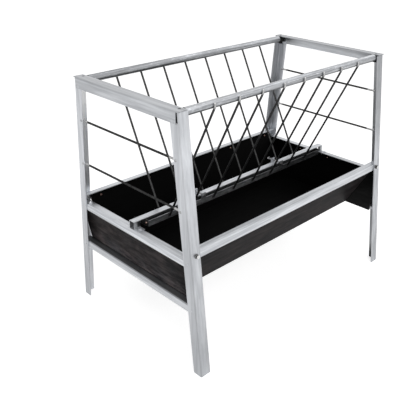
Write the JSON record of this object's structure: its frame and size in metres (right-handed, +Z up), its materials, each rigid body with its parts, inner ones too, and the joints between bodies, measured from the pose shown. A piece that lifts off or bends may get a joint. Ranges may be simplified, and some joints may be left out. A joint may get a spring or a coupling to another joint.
{
  "type": "hay rack feeder",
  "caption": "Free-standing livestock feeder: a V-shaped rack of hooked steel wires over a black panelled tray, in a splayed frame of galvanised angle and tube.",
  "frame": {"origin": "middle of the footprint, on the ground", "axes": "+X along the feeder, +Y across it towards the rear row of wires, +Z up"},
  "size_m": [1, 0.65, 0.85],
  "materials": {
    "galvanised": "semi-gloss galvanised sheet",
    "wire": "dark drawn wire",
    "board": "film-faced board with a faint grain",
    "insert": "matt black moulding",
    "black_steel": "matt black painted plate",
    "zinc": "zinc plated",
    "yellow_zinc": "yellow zinc plated"
  },
  "bodies": {
    "root": {"leg_front_left": "galvanised", "leg_front_right": "galvanised", "leg_rear_left": "galvanised", "leg_rear_right": "galvanised", "top_end_rail_left": "galvanised", "top_end_rail_right": "galvanised", "top_tube_front": "galvanised", "top_tube_rear": "galvanised", "corner_inserts": "insert", "corner_screws": "insert", "end_rail_screws": "zinc", "tray_rim_front": "galvanised", "tray_rim_rear": "galvanised", "tray_rim_left": "galvanised", "tray_rim_right": "galvanised", "tray_base_rail_left": "galvanised", "tray_base_rail_right": "galvanised", "tray_panel_front": "board", "tray_panel_rear": "board", "tray_panel_left": "board", "tray_panel_right": "board", "tray_floor": "board", "beam_top_angle": "galvanised", "beam_front_bar": "galvanised", "beam_end_webs": "black_steel", "beam_post_left": "galvanised", "beam_post_right": "galvanised", "beam_post_bolts": "zinc", "beam_web_screws": "yellow_zinc", "beam_tie_bolts": "zinc", "beam_tie_nuts": "zinc", "rack_wire_front_1": "wire", "rack_wire_front_2": "wire", "rack_wire_front_3": "wire", "rack_wire_front_4": "wire", "rack_wire_front_5": "wire", "rack_wire_front_6": "wire", "rack_wire_front_7": "wire", "rack_wire_front_8": "wire", "rack_wire_rear_1": "wire", "rack_wire_rear_2": "wire", "rack_wire_rear_3": "wire", "rack_wire_rear_4": "wire", "rack_wire_rear_5": "wire", "rack_wire_rear_6": "wire", "rack_wire_rear_7": "wire", "rack_wire_rear_8": "wire", "end_bar_left_upper": "wire", "end_bar_left_lower": "wire", "end_bar_right_upper": "wire", "end_bar_right_lower": "wire", "leg_rim_bolts": "zinc", "leg_rim_nuts": "zinc", "rim_rivets": "zinc", "base_rail_bolts": "zinc", "rim_corner_bolts": "zinc", "panel_screws": "yellow_zinc"}
  },
  "joints": []
}
